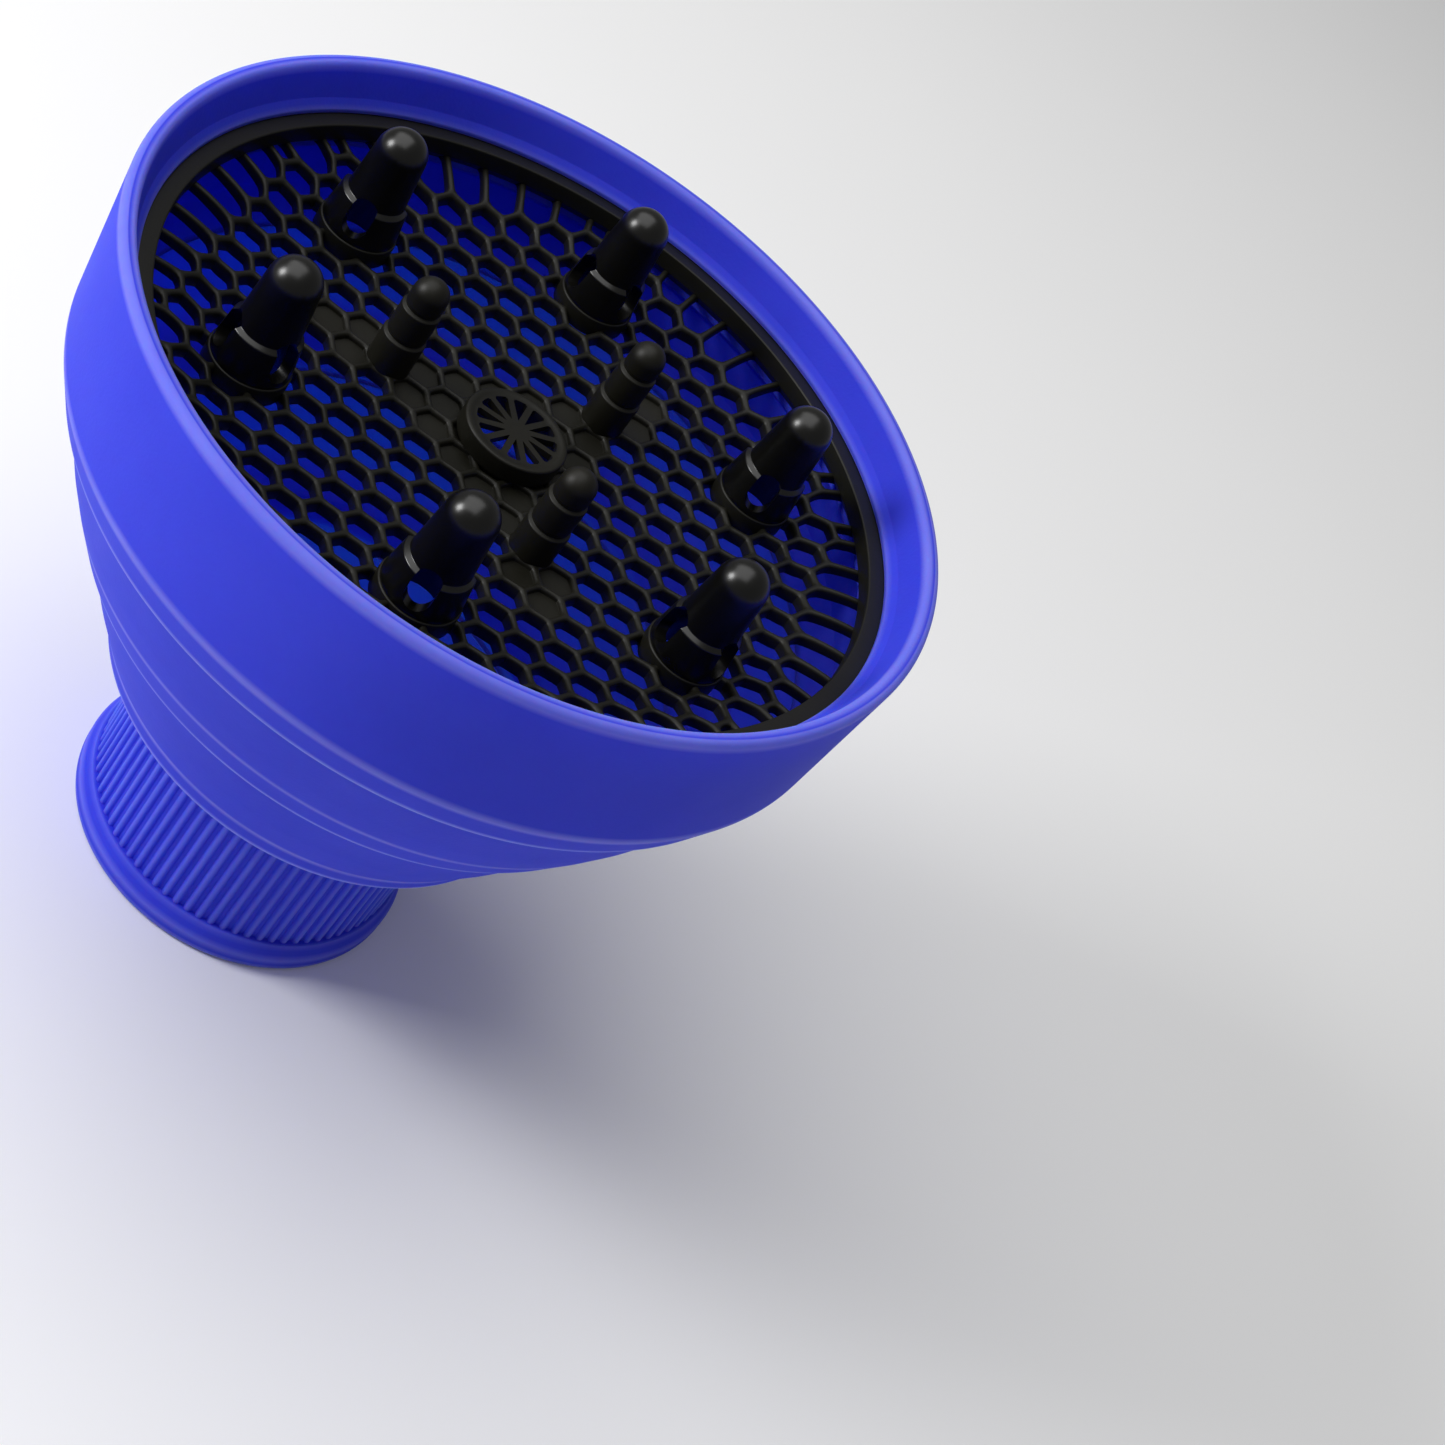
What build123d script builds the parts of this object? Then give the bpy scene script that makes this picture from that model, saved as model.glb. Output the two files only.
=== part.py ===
from build123d import *
import math
import os

# Collapsible silicone diffuser for a hair dryer, in millimetres.
# The bell stands on the end face of its neck. +Z is the bell's axis and points out of the mouth.
# The origin is the centre of the neck's end face. The model is at full length; folding
# slides each tier of the bellows into the next larger one.

# Bell
bell_height = 138.0
rim_radius = 80.0
rim_width = 2.8
skirt_wall = 2.6
tier_wall = 2.2
web_wall = 1.4
crest_round = 0.8
crest_step = 0.4
hinge_gap = 0.3

# Outside of the bellows, as (radius, height): each tier has a rounded edge and a crest
skirt_edge = (78.5, 108.6)
outer_crest = (75.5, 101.4)
outer_tier_edge = (66.0, 82.0)
middle_crest = (62.0, 74.6)
inner_tier_edge = (48.5, 51.0)
inner_crest = (46.5, 45.8)

# Neck
neck_radius = 33.9
neck_rib_count = 80
neck_rib_round = 0.85
neck_root_radius = 33.2
neck_bore_radius = 31.1
neck_lip_radius = 36.0
neck_lip_height = 6.5
neck_lip_shoulder = 0.6
neck_land_radius = 30.0
inner_fold_travel = 25.1
grip_pair_count = 6
grip_rib_width = 2.4
grip_rib_spacing = 3.2

# Seat of the plastic insert, measured down from the rim
seat_depth = 9.4
seat_radius = 75.2
bead_radius = 73.8
ledge_radius = 72.8
ledge_thickness = 1.6
ledge_slope = 2.4
bead_height = 0.6
lead_in_height = 1.8
lead_in_width = 1.6

# Plastic insert
plate_radius = 75.0
plate_ring_height = 5.6
lattice_radius = 68.4
lattice_edge_depth = 14.2
lattice_centre_depth = 19.2
lattice_thickness = 2.8
floor_thickness = 1.8
cell_pitch = 7.4
cell_rib = 1.3
stretch_start = 59.0
stretch_factor = 1.9
smallest_cell = 9.0
cell_to_ring_gap = 0.2

# Blind cells: a middle field and one arm towards each short finger
field_radius = 16.5
arm_length = 40.0
arm_half_width = 6.5
arm_angles = (180, 60, -60)

# Round cap over the middle of the insert
cap_radius = 10.2
cap_height = 4.0
cap_top = 1.4
cap_edge_chamfer = 0.4
cap_spigot_radius = 9.4
cap_bore_radius = 8.2
cap_hub_radius = 1.9
cap_slot_radius = 8.0
cap_slot_count = 12
cap_spoke = 1.3

# Tall fingers
outer_finger_angles = (90, 30, -30, -90, -150, 150)
outer_finger_circle = 51.2
socket_radius = 8.0
socket_wall = 1.3
socket_height = 1.2
cage_radius = 6.6
cage_foot_radius = 7.4
cage_foot_height = 0.5
cage_wall = 1.4
cage_height = 7.6
shaft_radius = 5.6
shaft_wall = 1.4
outer_tip_radius = 4.9
outer_tip_above_rim = 2.2
window_count = 3
window_width = 4.8
window_height = 7.8
window_sill = 1.2
shoulder_height = 0.6

# Short fingers
inner_finger_circle = 25.6
inner_foot_radius = 4.2
inner_middle_radius = 3.8
inner_tip_radius = 3.4
inner_tip_depth = 2.0
inner_step_depths = (11.6, 5.0)
inner_step_chamfer = 0.3
inner_spigot_radius = 2.4

fit_clearance = 0.05


def turned(*lines):
    """Solid of revolution about Z of a closed outline drawn as (radius, height)."""
    return revolve(Plane.XZ * make_face(Wire(list(lines))), Axis.Z)


def turned_polygon(*points):
    return turned(*Polyline(*points, close=True).edges())


def inset(points, distance):
    """The inside line of a wall whose outside line runs downwards through points.

    The wall's two ends are level, and it has the same thickness on both sides of a corner."""
    normals = []
    for start, end in zip(points, points[1:]):
        length = math.dist(start, end)
        normals.append(((end[1] - start[1]) / length, (start[0] - end[0]) / length))
    inside = [(points[0][0] + distance / normals[0][0], points[0][1])]
    for (radius, height), before, after in zip(points[1:-1], normals, normals[1:]):
        mean = ((before[0] + after[0]) / 2, (before[1] + after[1]) / 2)
        reach = distance / (mean[0] ** 2 + mean[1] ** 2)
        inside.append((radius + mean[0] * reach, height + mean[1] * reach))
    inside.append((points[-1][0] + distance / normals[-1][0], points[-1][1]))
    return inside


def bellows_wall(points, thickness, round_radius=0.0):
    """A turned wall of even thickness, with its corners rounded."""
    inside = inset(points, thickness)[::-1]
    if round_radius:
        radii = [round_radius] * (len(points) - 2)
        outer = FilletPolyline(*points, radius=radii)
        inner = FilletPolyline(*inside, radius=radii)
    else:
        outer = Polyline(*points)
        inner = Polyline(*inside)
    ends = [Line(points[-1], inside[0]), Line(inside[-1], points[0])]
    return turned(*outer.edges(), ends[0], *inner.edges(), ends[1])


def along(start, end, height):
    """The point at a height on the straight line from start to end."""
    share = (height - start[1]) / (end[1] - start[1])
    return (start[0] + share * (end[0] - start[0]), height)


def fold_line(upper_crest, lower_edge, lower_crest):
    """Where a tier's web ends: half of the fold's travel below the crest it hangs from."""
    return along(upper_crest, lower_edge, (upper_crest[1] + lower_crest[1]) / 2)


def make_skirt():
    """Wide band round the mouth, with the groove for the insert and the outermost crest."""
    seat = bell_height - seat_depth
    seat_floor = seat - plate_ring_height - fit_clearance
    wall_foot = inset([skirt_edge, outer_crest], skirt_wall)
    return turned_polygon(
        (rim_radius - crest_round, bell_height),
        (rim_radius, bell_height - crest_round),
        skirt_edge,
        outer_crest,
        (wall_foot[1][0], outer_crest[1] + crest_step),
        wall_foot[0],
        (skirt_edge[0] - skirt_wall, seat_floor - ledge_thickness - ledge_slope),
        (ledge_radius, seat_floor - ledge_thickness),
        (ledge_radius, seat_floor),
        (seat_radius, seat_floor),
        (seat_radius, seat + fit_clearance),
        (bead_radius, seat + fit_clearance),
        (bead_radius, seat + bead_height),
        (bead_radius + lead_in_width, seat + bead_height + lead_in_height),
        (rim_radius - rim_width, bell_height - crest_round),
        (rim_radius - rim_width + crest_round, bell_height),
    )


def make_tier(upper_crest, edge, crest):
    """Stiff ring of the bellows, from its fold line down to its crest."""
    return bellows_wall([fold_line(upper_crest, edge, crest), edge, crest], tier_wall, crest_round)


def make_web(start, end):
    """Thin membrane that hangs from a crest and turns over when the bellows fold."""
    top = along(start, end, start[1] - hinge_gap)
    return bellows_wall([top, end], web_wall)


def neck_top():
    """Where the innermost web joins the neck."""
    return (neck_radius, inner_crest[1] - inner_fold_travel / 2)


def grip_ribs():
    """Section of the short ribs inside the neck, two side by side at each place."""
    depth = neck_root_radius - neck_land_radius
    centre = (neck_root_radius + neck_land_radius) / 2
    pair = Sketch() + [
        Pos(0, side * grip_rib_spacing / 2) * Rectangle(depth, grip_rib_width) for side in (-1, 1)
    ]
    return Sketch() + [location * pair for location in PolarLocations(centre, grip_pair_count)]


def make_neck():
    """Ribbed collar that stretches over the dryer's nozzle, with a plain lip at its end."""
    top = neck_top()[1]
    section = Circle(neck_root_radius)
    section += [
        location * Circle(neck_rib_round)
        for location in PolarLocations(neck_radius - neck_rib_round, neck_rib_count)
    ]
    section -= Circle(neck_bore_radius)
    section += grip_ribs()
    collar = extrude(Pos(0, 0, neck_lip_height) * section, top - neck_lip_height)
    lip = turned_polygon(
        (neck_land_radius, 0),
        (neck_lip_radius - crest_round, 0),
        (neck_lip_radius, crest_round),
        (neck_lip_radius, neck_lip_height / 2),
        (neck_radius + neck_lip_shoulder, neck_lip_height),
        (neck_land_radius, neck_lip_height),
    )
    return collar + lip


def lattice_arc(drop=0.0):
    """Dished line of the insert's lattice, from its edge in to the axis."""
    edge = bell_height - lattice_edge_depth - drop
    centre = bell_height - lattice_centre_depth - drop
    halfway = centre + (edge - centre) / 4
    return ThreePointArc((lattice_radius, edge), (lattice_radius / 2, halfway), (0, centre))


def lattice_height(radius):
    """Height of the lattice's upper face at a radius."""
    rise = lattice_centre_depth - lattice_edge_depth
    return bell_height - lattice_centre_depth + rise * (radius / lattice_radius) ** 2


def cell_places():
    column = cell_pitch * math.sqrt(3) / 2
    reach = int(lattice_radius / column) + 1
    return [
        (i * column, (j + (i % 2) / 2) * cell_pitch)
        for i in range(-reach, reach + 1)
        for j in range(-reach, reach + 1)
    ]


def stretched(x, y):
    """Cells near the ring are drawn out towards it, and end on it."""
    radius = math.hypot(x, y)
    if radius <= stretch_start:
        return (x, y)
    limit = lattice_radius - cell_to_ring_gap
    drawn = min(stretch_start + (radius - stretch_start) * stretch_factor, limit)
    return (x * drawn / radius, y * drawn / radius)


def cell_outline(x, y):
    """The six corners of a cell, with its flat sides along X."""
    reach = (cell_pitch - cell_rib) / math.sqrt(3)
    corners = [
        (x + reach * math.cos(math.radians(60 * k)), y + reach * math.sin(math.radians(60 * k)))
        for k in range(6)
    ]
    return [stretched(*corner) for corner in corners]


def outline_area(corners):
    pairs = zip(corners, corners[1:] + corners[:1])
    return sum(a[0] * b[1] - a[1] * b[0] for a, b in pairs) / 2


def is_blind(x, y):
    """Cells of the middle field and of its three arms have a floor."""
    if math.hypot(x, y) < field_radius:
        return True
    for angle in arm_angles:
        cos, sin = math.cos(math.radians(angle)), math.sin(math.radians(angle))
        forward, sideways = x * cos + y * sin, y * cos - x * sin
        if 0 < forward < arm_length and abs(sideways) < arm_half_width:
            return True
    return False


def polar(radius, angle):
    return (radius * math.cos(math.radians(angle)), radius * math.sin(math.radians(angle)))


def is_under_a_fitting(x, y):
    """Cells whose middle lies under the cap or a finger are left out."""
    places = [(0, 0, cap_spigot_radius)]
    places += [(*polar(outer_finger_circle, a), foot_radius()) for a in outer_finger_angles]
    places += [(*polar(inner_finger_circle, a), inner_spigot_radius) for a in arm_angles]
    return any(math.hypot(x - px, y - py) < radius for px, py, radius in places)


def cell_cutters():
    """One prism for each cell: right through, or down to the floor of a blind cell."""
    cutters = []
    half_cell = cell_pitch / 2
    for x, y in cell_places():
        radius = math.hypot(x, y)
        if radius > lattice_radius + half_cell or is_under_a_fitting(x, y):
            continue
        corners = cell_outline(x, y)
        if outline_area(corners) < smallest_cell:
            continue
        bottom = bell_height - lattice_centre_depth - 2 * lattice_thickness
        if is_blind(x, y):
            bottom = lattice_height(radius) - lattice_thickness + floor_thickness
        face = make_face(Polyline(*corners, close=True))
        cutters.append(extrude(Pos(0, 0, bottom) * face, bell_height - bottom))
    return cutters


def socket_top():
    return lattice_height(outer_finger_circle) + socket_height


def foot_radius():
    """Radius of a tall finger's foot, which plugs into its socket."""
    return socket_radius - socket_wall - fit_clearance


def short_finger_seat():
    return lattice_height(inner_finger_circle) - lattice_thickness + floor_thickness


def post(place, radius, bottom, top):
    """Upright round bar."""
    return extrude(Pos(*place, bottom) * Circle(radius), top - bottom)


def plate_blank():
    """The insert before its cells are cut: border ring and dished floor."""
    seat = bell_height - seat_depth
    foot = seat - plate_ring_height
    upper = lattice_arc()
    lower = lattice_arc(lattice_thickness)
    return turned(
        upper,
        Line(upper @ 1, lower @ 1),
        lower,
        Line(lower @ 0, (lattice_radius, foot)),
        Line((lattice_radius, foot), (plate_radius, foot)),
        Line((plate_radius, foot), (plate_radius, seat)),
        Line((plate_radius, seat), (lattice_radius, seat)),
        Line((lattice_radius, seat), upper @ 0),
    )


def make_plate():
    """One-piece insert: flat border ring, dished honeycomb and the round finger sockets."""
    plate = plate_blank() - cell_cutters()
    outer_places = [polar(outer_finger_circle, angle) for angle in outer_finger_angles]
    socket_foot = lattice_height(outer_finger_circle) - lattice_thickness
    below = bell_height - lattice_centre_depth - 2 * lattice_thickness
    plate += [post(place, socket_radius, socket_foot, socket_top()) for place in outer_places]
    bore = foot_radius() + fit_clearance
    plate -= [post(place, bore, below, bell_height) for place in outer_places]
    plate -= post((0, 0), cap_spigot_radius + fit_clearance, below, bell_height)
    for angle in arm_angles:
        place = polar(inner_finger_circle, angle)
        plate -= post(place, inner_foot_radius + fit_clearance, short_finger_seat(), bell_height)
        plate -= post(place, inner_spigot_radius + fit_clearance, below, bell_height)
    return plate


def make_cap():
    """Slotted round cap that plugs into the middle of the insert."""
    bottom = lattice_height(0) - lattice_thickness
    seat = lattice_height(cap_radius) + fit_clearance
    top = lattice_height(0) + cap_height
    shell = turned_polygon(
        (cap_spigot_radius, bottom),
        (cap_spigot_radius, seat),
        (cap_radius, seat),
        (cap_radius, top - cap_edge_chamfer),
        (cap_radius - cap_edge_chamfer, top),
        (0, top),
        (0, top - cap_top),
        (cap_bore_radius, top - cap_top),
        (cap_bore_radius, bottom),
    )
    slots = Circle(cap_slot_radius) - Circle(cap_hub_radius)
    for k in range(cap_slot_count // 2):
        slots -= Rot(0, 0, k * 360 / cap_slot_count) * Rectangle(2 * cap_radius, cap_spoke)
    return shell - extrude(Pos(0, 0, top - 2 * cap_top) * slots, 3 * cap_top)


def window_cutter(bottom):
    """Arched opening through one side of a tall finger's cage, towards +X."""
    arch = window_width / 2
    shape = Pos(0, (window_height - arch) / 2) * Rectangle(window_width, window_height - arch)
    shape += Pos(0, window_height - arch) * Circle(arch)
    side = Plane(origin=(0, 0, bottom), x_dir=(0, 1, 0), z_dir=(1, 0, 0))
    return extrude(side * shape, socket_radius)


def tall_finger():
    """Hollow finger: foot, flared cage with three air windows, tapered shaft and round tip."""
    foot = lattice_height(outer_finger_circle) - lattice_thickness
    collar = socket_top()
    seat = collar + fit_clearance
    shoulder = collar + cage_height
    tip = bell_height + outer_tip_above_rim
    bore_tip = outer_tip_radius - shaft_wall
    shell = turned(
        Line((foot_radius() - cage_wall, foot), (foot_radius(), foot)),
        Line((foot_radius(), foot), (foot_radius(), seat)),
        Line((foot_radius(), seat), (cage_foot_radius, seat)),
        Line((cage_foot_radius, seat), (cage_foot_radius, seat + cage_foot_height)),
        Line((cage_foot_radius, seat + cage_foot_height), (cage_radius, shoulder - shoulder_height)),
        Line((cage_radius, shoulder - shoulder_height), (shaft_radius, shoulder)),
        Line((shaft_radius, shoulder), (outer_tip_radius, tip)),
        CenterArc((0, tip), outer_tip_radius, 0, 90),
        Line((0, tip + outer_tip_radius), (0, tip + bore_tip)),
        CenterArc((0, tip), bore_tip, 90, -90),
        Line((bore_tip, tip), (shaft_radius - shaft_wall, shoulder)),
        Line((shaft_radius - shaft_wall, shoulder), (foot_radius() - cage_wall, collar)),
        Line((foot_radius() - cage_wall, collar), (foot_radius() - cage_wall, foot)),
    )
    window = window_cutter(collar + window_sill)
    return shell - [Rot(0, 0, k * 360 / window_count) * window for k in range(window_count)]


def short_finger():
    """Solid finger in three steps with a round tip, on a thin spigot."""
    seat = short_finger_seat()
    foot = lattice_height(inner_finger_circle) - lattice_thickness
    lower_step, upper_step = (bell_height - depth for depth in inner_step_depths)
    tip = bell_height - inner_tip_depth
    return turned(
        Line((0, foot), (inner_spigot_radius, foot)),
        Line((inner_spigot_radius, foot), (inner_spigot_radius, seat)),
        Line((inner_spigot_radius, seat), (inner_foot_radius, seat)),
        Line((inner_foot_radius, seat), (inner_foot_radius, lower_step - inner_step_chamfer)),
        Line((inner_foot_radius, lower_step - inner_step_chamfer), (inner_middle_radius, lower_step)),
        Line((inner_middle_radius, lower_step), (inner_middle_radius, upper_step - inner_step_chamfer)),
        Line((inner_middle_radius, upper_step - inner_step_chamfer), (inner_tip_radius, upper_step)),
        Line((inner_tip_radius, upper_step), (inner_tip_radius, tip)),
        CenterArc((0, tip), inner_tip_radius, 0, 90),
        Line((0, tip + inner_tip_radius), (0, foot)),
    )


def placed(finger, circle, angle):
    return Pos(*polar(circle, angle), 0) * Rot(0, 0, angle) * finger


def build():
    fold_outer = fold_line(outer_crest, outer_tier_edge, middle_crest)
    fold_middle = fold_line(middle_crest, inner_tier_edge, inner_crest)
    nodes = {
        "neck_collar": make_neck(),
        "inner_fold_web": make_web(inner_crest, neck_top()),
        "inner_tier_ring": make_tier(middle_crest, inner_tier_edge, inner_crest),
        "middle_fold_web": make_web(middle_crest, fold_middle),
        "outer_tier_ring": make_tier(outer_crest, outer_tier_edge, middle_crest),
        "outer_fold_web": make_web(outer_crest, fold_outer),
        "skirt": make_skirt(),
        "grille_plate": make_plate(),
        "vent_cap": make_cap(),
    }
    outer_finger = tall_finger()
    for number, angle in enumerate(outer_finger_angles, start=1):
        nodes[f"outer_finger_{number}"] = placed(outer_finger, outer_finger_circle, angle)
    inner_finger = short_finger()
    for number, angle in enumerate(arm_angles, start=1):
        nodes[f"inner_finger_{number}"] = placed(inner_finger, inner_finger_circle, angle)
    return nodes


os.makedirs("parts", exist_ok=True)
for name, shape in build().items():
    export_step(shape, f"parts/{name}.step")
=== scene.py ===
import math

import bmesh
import bpy
from mathutils import Matrix, Vector


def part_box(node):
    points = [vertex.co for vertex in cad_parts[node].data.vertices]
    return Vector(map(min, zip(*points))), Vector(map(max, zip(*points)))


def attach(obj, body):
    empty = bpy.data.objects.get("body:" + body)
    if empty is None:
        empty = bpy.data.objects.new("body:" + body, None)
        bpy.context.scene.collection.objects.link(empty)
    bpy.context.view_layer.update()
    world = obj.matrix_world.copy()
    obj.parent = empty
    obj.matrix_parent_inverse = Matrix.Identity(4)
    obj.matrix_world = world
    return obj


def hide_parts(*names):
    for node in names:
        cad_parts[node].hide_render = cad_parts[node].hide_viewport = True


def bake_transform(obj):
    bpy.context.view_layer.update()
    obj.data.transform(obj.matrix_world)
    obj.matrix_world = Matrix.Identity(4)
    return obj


# Collapsible silicone hair-dryer diffuser, pulled out to full length. It stands on its neck and
# +Z points out of its mouth. Heights and outer radii come from the frame; details the frame has no
# box for are in millimetres, times MM.

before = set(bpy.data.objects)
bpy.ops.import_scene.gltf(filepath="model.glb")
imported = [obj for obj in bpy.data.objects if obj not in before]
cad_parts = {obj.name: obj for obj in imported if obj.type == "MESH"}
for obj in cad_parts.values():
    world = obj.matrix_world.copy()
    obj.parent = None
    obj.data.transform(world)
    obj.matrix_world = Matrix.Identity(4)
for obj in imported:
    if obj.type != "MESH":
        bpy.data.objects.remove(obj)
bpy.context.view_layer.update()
MM = 0.001

# Frame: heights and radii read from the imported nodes
rim_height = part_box("skirt")[1].z
rim_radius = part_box("skirt")[1].x
outer_crest_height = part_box("skirt")[0].z
middle_crest_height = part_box("outer_tier_ring")[0].z
inner_crest_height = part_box("inner_tier_ring")[0].z
neck_top_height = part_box("neck_collar")[1].z
lip_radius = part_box("neck_collar")[1].x
plate_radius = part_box("grille_plate")[1].x
cap_low, cap_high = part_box("vent_cap")

# Bell details. Each band has an edge at its lower side and a crest under it; a web starts there.
TURN_STEPS = 360
RIM_WIDTH = 2.8 * MM
RIM_ROUND = 1.1 * MM
SKIRT_EDGE_RISE = 7.2 * MM
SKIRT_EDGE_INSET = 1.5 * MM
MIDDLE_EDGE_RISE = 7.4 * MM
INNER_EDGE_RISE = 5.2 * MM
SKIRT_WALL = 2.6 * MM
TIER_WALL = 2.2 * MM
WEB_WALL = 1.4 * MM
INNER_WEB_WALL = WEB_WALL * 1.2
WEB_ROWS = 10
EDGE_ROUND = 1.9 * MM
CREST_ROUND = 1.1 * MM
WEB_RECESS = 0.8 * MM
INNER_ROUND = 0.6 * MM

# Groove that holds the insert: the seat, the bead over it and the ledge under it
SEAT_DEPTH = 9.4 * MM
SEAT_HEIGHT = 5.65 * MM
SEAT_RADIUS = 75.2 * MM
SEAT_ROUND = 0.3 * MM
BEAD_RADIUS = 73.8 * MM
BEAD_HEIGHT = 1.0 * MM
BEAD_SLOPE = (1.5 * MM, 2.6 * MM)
LEDGE_RADIUS = 72.8 * MM
LEDGE_HEIGHT = 1.6 * MM
LEDGE_TAPER = 4.0 * MM

# Dust and a painted highlight pale the silicone's edges: 0 is none, 1 is full strength
DUST_AND_HIGHLIGHT_FADE = 1.2 * MM
EDGE_DUST_AND_HIGHLIGHT = 0.75
CREST_DUST_AND_HIGHLIGHT = 1.0
RIM_INNER_DUST_AND_HIGHLIGHT = 0.7
BEAD_DUST_AND_HIGHLIGHT = 0.3
RIB_DUST_AND_HIGHLIGHT = 0.4

# Neck details
NECK_RADIUS = 33.9 * MM
NECK_RIB_COUNT = 80
NECK_RIB_ROUND = 0.85 * MM
NECK_ROOT_RADIUS = 33.2 * MM
NECK_BORE_RADIUS = 31.1 * MM
LIP_HEIGHT = 6.5 * MM
LIP_SHOULDER = 0.6 * MM
LAND_RADIUS = 30.0 * MM
GRIP_PAIRS = 6
GRIP_WIDTH = 2.4 * MM
GRIP_SPACING = 3.2 * MM
GRIP_FLANK = 0.35 * MM
NECK_STEPS_PER_RIB = 12

# Insert details. Depths of the ring, the dish and the bars are below the rim, except the ring's
# own, which are below its top. The dish is the honeycomb, which is lowest in its middle.
RING_STEPS = 288
RING_INNER_RADIUS = 70.6 * MM
RING_DEPTH = 5.6 * MM
RING_UNDERCUT_DEPTH = 3.6 * MM
RING_UNDERCUT_WIDTH = 1.8 * MM
DISH_RADIUS = 68.4 * MM
LATTICE_EDGE_DEPTH = 14.2 * MM
BAR_TOP_DEPTH = 12.9 * MM
BAR_FOOT_DEPTH = 14.9 * MM
BAR_RISE_START = 59.0 * MM
LATTICE_CENTRE_DEPTH = 19.2 * MM
LATTICE_THICKNESS = 2.8 * MM

# Cells: whole hexagons, then cells between radial bars; blind cells have a floor
CELL_PITCH = 7.4 * MM
CELL_RIB = 1.3 * MM
CELL_REACH = CELL_PITCH / math.sqrt(3)
CELL_SOFTNESS = 18
SIDE_STEPS = 4
BAR_STEPS = 6
BAR_OVERLAP = 1.5 * MM
WHOLE_CELL_LIMIT = 63.6 * MM
FOOT_ROUND = 0.25 * MM
WELD_DISTANCE = 2e-7
SLIVER_LENGTH = 1e-8
BLIND_DEPTH = 1.0 * MM
BLIND_ROUND = 0.1 * MM
FIELD_RADIUS = 16.5 * MM
ARM_LENGTH = 40.0 * MM
ARM_HALF_WIDTH = 6.5 * MM

# Sockets of the tall fingers
SOCKET_STEPS = 96
SOCKET_RADIUS = 7.7 * MM
SOCKET_BORE = 6.7 * MM
SOCKET_HEIGHT = 1.2 * MM
SOCKET_OVERLAP = 0.8 * MM
CLEARANCE = 0.05 * MM

TALL_FINGERS = [f"outer_finger_{n}" for n in range(1, 7)]
SHORT_FINGERS = [f"inner_finger_{n}" for n in range(1, 4)]


# ---------------------------------------------------------------- camera, floor and light

# Camera fitted to the photo, placed from the middle of the rim; angles in degrees
CAMERA_PLACE = Vector((-14.9, -354.6, 239.7)) * MM
CAMERA_AZIMUTH = 7.9
CAMERA_ELEVATION = 37.9
CAMERA_ROLL = 38.7
CAMERA_LENS = 61.2
CAMERA_SHIFT = (0.077, -0.0715)
SENSOR_WIDTH = 36.0

FLOOR_SIZE = 6.0
FLOOR_GAP = 0.0002
WORLD_WHITE = (1.0, 1.0, 1.0, 1.0)
WORLD_STRENGTH = 0.22
LIGHT_AIM_SHARE = 0.75

# Softboxes: name, place to the camera's right, up and back from the bell, size and power
SOFTBOXES = (
    ("key", (-0.52, 0.58, 0.52), 0.30, 5.8),
    ("overhead", (0.25, 1.10, 0.75), 1.60, 15.0),
)


def make_camera():
    """Camera that looks along its azimuth and down by its elevation, then rolls."""
    data = bpy.data.cameras.new("camera")
    data.lens = CAMERA_LENS
    data.sensor_width = SENSOR_WIDTH
    data.shift_x, data.shift_y = CAMERA_SHIFT
    camera = bpy.data.objects.new("camera", data)
    azimuth, elevation = math.radians(CAMERA_AZIMUTH), math.radians(CAMERA_ELEVATION)
    forward = Vector((
        math.sin(azimuth) * math.cos(elevation),
        math.cos(azimuth) * math.cos(elevation),
        -math.sin(elevation),
    ))
    upright = forward.to_track_quat("-Z", "Y").to_matrix().to_4x4()
    roll = Matrix.Rotation(math.radians(CAMERA_ROLL), 4, "Z")
    place = Vector((0, 0, rim_height)) + CAMERA_PLACE
    camera.matrix_world = Matrix.Translation(place) @ upright @ roll
    bpy.context.scene.collection.objects.link(camera)
    bpy.context.scene.camera = camera
    return camera


def make_softbox(camera, name, offset, size, power):
    """Square soft light at an offset, in the camera's axes, from the bell's middle."""
    data = bpy.data.lights.new(name, "AREA")
    data.shape = "SQUARE"
    data.size = size
    data.energy = power
    light = bpy.data.objects.new(name, data)
    turn = camera.matrix_world.to_3x3()
    middle = Vector((0, 0, rim_height * LIGHT_AIM_SHARE))
    place = middle + turn @ Vector(offset)
    aim = (middle - place).to_track_quat("-Z", "Y").to_matrix().to_4x4()
    light.matrix_world = Matrix.Translation(place) @ aim
    bpy.context.scene.collection.objects.link(light)


def make_stage(camera):
    """Paper floor, even white surroundings and the softboxes."""
    mesh = bpy.data.meshes.new("floor")
    half = FLOOR_SIZE / 2
    corners = [(-half, -half, 0), (half, -half, 0), (half, half, 0), (-half, half, 0)]
    mesh.from_pydata(corners, [], [(0, 1, 2, 3)])
    floor = bpy.data.objects.new("floor", mesh)
    floor.location.z = -FLOOR_GAP
    bpy.context.scene.collection.objects.link(floor)
    mesh.materials.append(floor_material())
    world = bpy.data.worlds.new("studio")
    world.use_nodes = True
    background = world.node_tree.nodes["Background"]
    background.inputs["Color"].default_value = WORLD_WHITE
    background.inputs["Strength"].default_value = WORLD_STRENGTH
    bpy.context.scene.world = world
    for name, offset, size, power in SOFTBOXES:
        make_softbox(camera, name, offset, size, power)
    bpy.context.scene.view_settings.view_transform = "Standard"


# ---------------------------------------------------------------- materials


# Sockets of the colour mix node
MIX_SHARE, MIX_FIRST, MIX_SECOND, MIX_RESULT = 0, 6, 7, 2


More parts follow.
